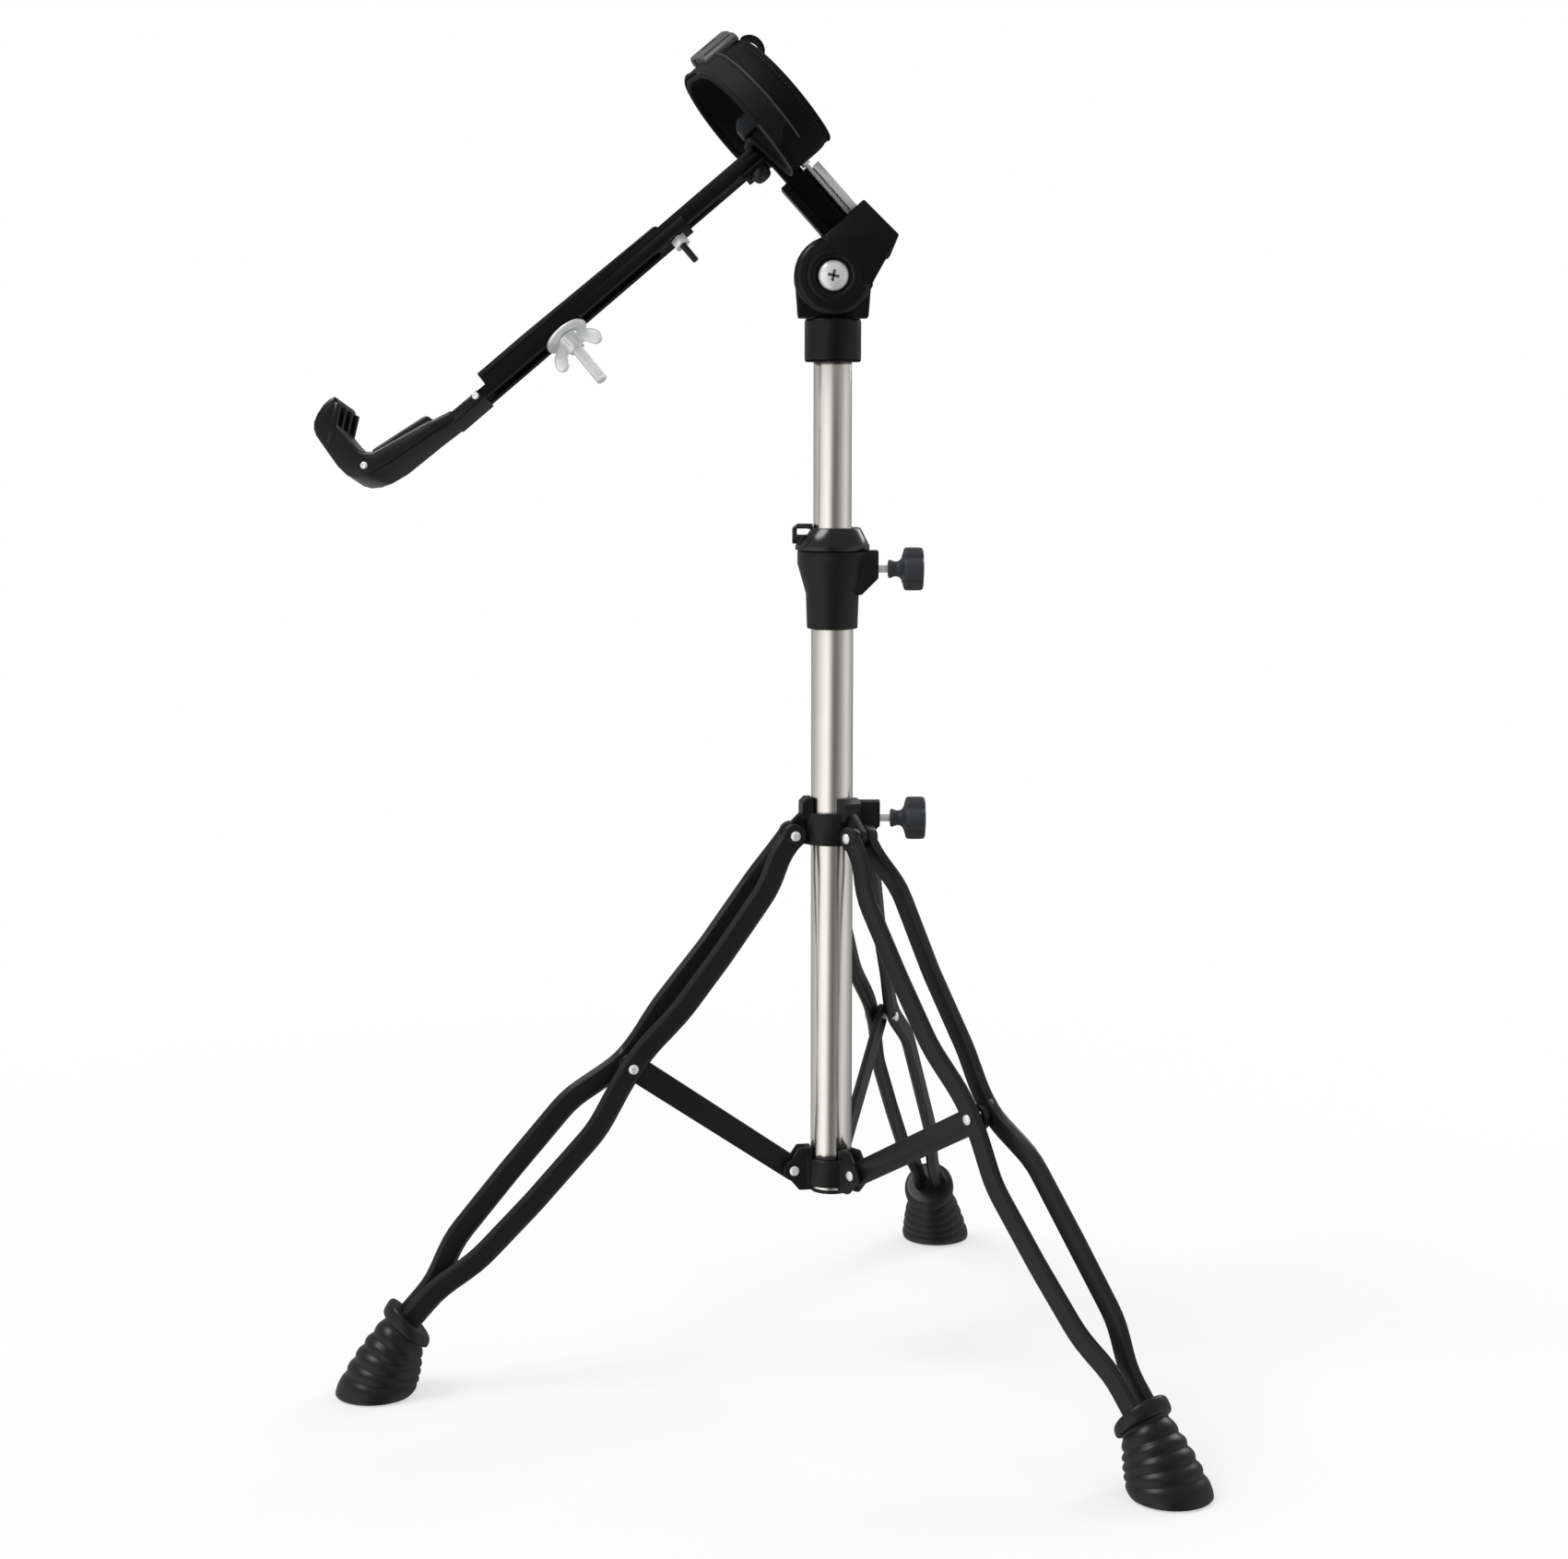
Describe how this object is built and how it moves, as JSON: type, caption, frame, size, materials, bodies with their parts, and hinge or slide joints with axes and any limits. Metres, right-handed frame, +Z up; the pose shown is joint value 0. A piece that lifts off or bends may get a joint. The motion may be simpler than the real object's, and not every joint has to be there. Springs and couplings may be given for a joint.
{
  "type": "djembe stand",
  "caption": "Folding hand-drum stand: double-strut tripod, two-part steel mast, tilter, sliding arm with a rubber hook and a padded waist strap.",
  "frame": {"origin": "on the floor, at the centre of the stand's bounding box", "axes": "+Z up along the mast, -X the way the arm and its hook point, +Y to the back of the picture"},
  "size_m": [0.5174, 0.5322, 0.8152],
  "materials": {
    "black_steel": "satin powder coat",
    "black_plastic": "moulded, fine grain",
    "satin_steel": "satin plated tube",
    "zinc": "bright zinc",
    "rubber": "moulded black rubber",
    "nylon": "plain nylon",
    "webbing": "padded black nylon webbing",
    "buckle_plastic": "grey acetal"
  },
  "bodies": {
    "mast": {"lower_tube": "satin_steel", "tube_plug": "black_plastic", "brace_ring": "black_plastic", "ring_rivet_left": "zinc", "ring_rivet_right": "zinc", "ring_rivet_back": "zinc", "height_cup": "black_plastic", "height_bushing": "nylon"},
    "height_clamp": {"height_knob": "black_plastic", "height_knob_bolt": "zinc"},
    "collar": {"leg_collar": "black_plastic", "collar_rivet_left": "zinc", "collar_rivet_right": "zinc", "collar_rivet_back": "zinc"},
    "collar_clamp": {"collar_knob": "black_plastic", "collar_knob_bolt": "zinc"},
    "leg_left": {"strut_inner_left": "black_steel", "strut_outer_left": "black_steel", "leg_rivet_left": "zinc", "foot_left": "rubber"},
    "link_left": {"brace_left": "black_steel"},
    "leg_right": {"strut_inner_right": "black_steel", "strut_outer_right": "black_steel", "leg_rivet_right": "zinc", "foot_right": "rubber"},
    "link_right": {"brace_right": "black_steel"},
    "leg_back": {"strut_inner_back": "black_steel", "strut_outer_back": "black_steel", "leg_rivet_back": "zinc", "foot_back": "rubber"},
    "link_back": {"brace_back": "black_steel"},
    "upper_mast": {"upper_tube": "satin_steel"},
    "stop_ring": {"memory_lock": "black_plastic", "memory_lock_screw": "zinc"},
    "tilter": {"tilter_base": "black_steel"},
    "head": {"tilter_head": "black_steel", "tilt_bolt": "zinc", "tilt_nut": "zinc", "neck_channel": "black_steel", "neck_plate": "zinc", "neck_screw": "zinc", "neck_bar": "black_steel", "arm_channel": "black_steel", "arm_pad": "rubber", "junction_bolt": "black_steel", "junction_nut": "zinc", "wing_bolt": "zinc", "wing_washer": "zinc", "strap_saddle": "black_plastic", "waist_pad": "rubber", "strap_screw": "zinc", "strap_band": "webbing", "strap_webbing": "webbing", "strap_buckle": "buckle_plastic", "strap_keeper": "webbing"},
    "hook": {"hook_bar": "black_steel", "hook_rubber": "rubber", "guide_bolt": "black_steel", "guide_nut": "zinc"},
    "wing": {"wing_nut": "zinc"}
  },
  "joints": [
    {"name": "collar_slide", "type": "slide", "parent": "mast", "child": "collar", "axis": [0, 0, 1], "range_m": [0, 0.05]},
    {"name": "height_slide", "type": "slide", "parent": "mast", "child": "upper_mast", "axis": [0, 0, 1], "range_m": [0, 0.15]},
    {"name": "height_knob_turn", "type": "hinge", "parent": "mast", "child": "height_clamp", "pos_m": [0.08569, -0.02799, 0.4963], "axis": [1, 0, 0], "continuous": true},
    {"name": "collar_knob_turn", "type": "hinge", "parent": "collar", "child": "collar_clamp", "pos_m": [0.08769, -0.02799, 0.345], "axis": [1, 0, 0], "continuous": true},
    {"name": "leg_left_hinge", "type": "hinge", "parent": "collar", "child": "leg_left", "pos_m": [0.02884, -0.03263, 0.3357], "axis": [0.1908, -0.9816, 0], "range_deg": [0, 12]},
    {"name": "link_left_hinge", "type": "hinge", "parent": "mast", "child": "link_left", "pos_m": [0.02884, -0.03263, 0.127], "axis": [0.1908, -0.9816, 0], "range_deg": [-21.5, 0]},
    {"name": "leg_right_hinge", "type": "hinge", "parent": "collar", "child": "leg_right", "pos_m": [0.06844, -0.0465, 0.3357], "axis": [0.7615, 0.6481, 0], "range_deg": [0, 9.6]},
    {"name": "link_right_hinge", "type": "hinge", "parent": "mast", "child": "link_right", "pos_m": [0.06844, -0.0465, 0.127], "axis": [0.7615, 0.6481, 0], "range_deg": [-21.5, 0]},
    {"name": "leg_back_hinge", "type": "hinge", "parent": "collar", "child": "leg_back", "pos_m": [0.0596, -0.00469, 0.3357], "axis": [-0.9588, 0.284, 0], "range_deg": [0, 12]},
    {"name": "link_back_hinge", "type": "hinge", "parent": "mast", "child": "link_back", "pos_m": [0.0596, -0.00469, 0.127], "axis": [-0.9588, 0.284, 0], "range_deg": [-21.5, 0]},
    {"name": "stop_ring_slide", "type": "slide", "parent": "upper_mast", "child": "stop_ring", "axis": [0, 0, 1], "range_m": [0, 0.09]},
    {"name": "swivel", "type": "hinge", "parent": "upper_mast", "child": "tilter", "pos_m": [0.05269, -0.02799, 0.62], "axis": [0, 0, 1], "continuous": true},
    {"name": "tilt", "type": "hinge", "parent": "tilter", "child": "head", "pos_m": [0.05269, -0.02799, 0.6694], "axis": [0, 1, 0], "range_deg": [-40, 56]},
    {"name": "arm_slide", "type": "slide", "parent": "head", "child": "hook", "axis": [-0.766, 0, -0.6428], "range_m": [-0.02, 0.064]},
    {"name": "wing_nut_turn", "type": "hinge", "parent": "head", "child": "wing", "pos_m": [-0.10757, -0.02799, 0.63682], "axis": [-0.604, 0.342, 0.7198], "continuous": true}
  ],
  "couplings": [
    {"joint": "leg_left_hinge", "follows": "collar_slide", "rad_per_m": 4.12},
    {"joint": "link_left_hinge", "follows": "collar_slide", "rad_per_m": -7.3},
    {"joint": "leg_right_hinge", "follows": "collar_slide", "rad_per_m": 3.26},
    {"joint": "link_right_hinge", "follows": "collar_slide", "rad_per_m": -7.2},
    {"joint": "leg_back_hinge", "follows": "collar_slide", "rad_per_m": 4.12},
    {"joint": "link_back_hinge", "follows": "collar_slide", "rad_per_m": -7.3}
  ]
}
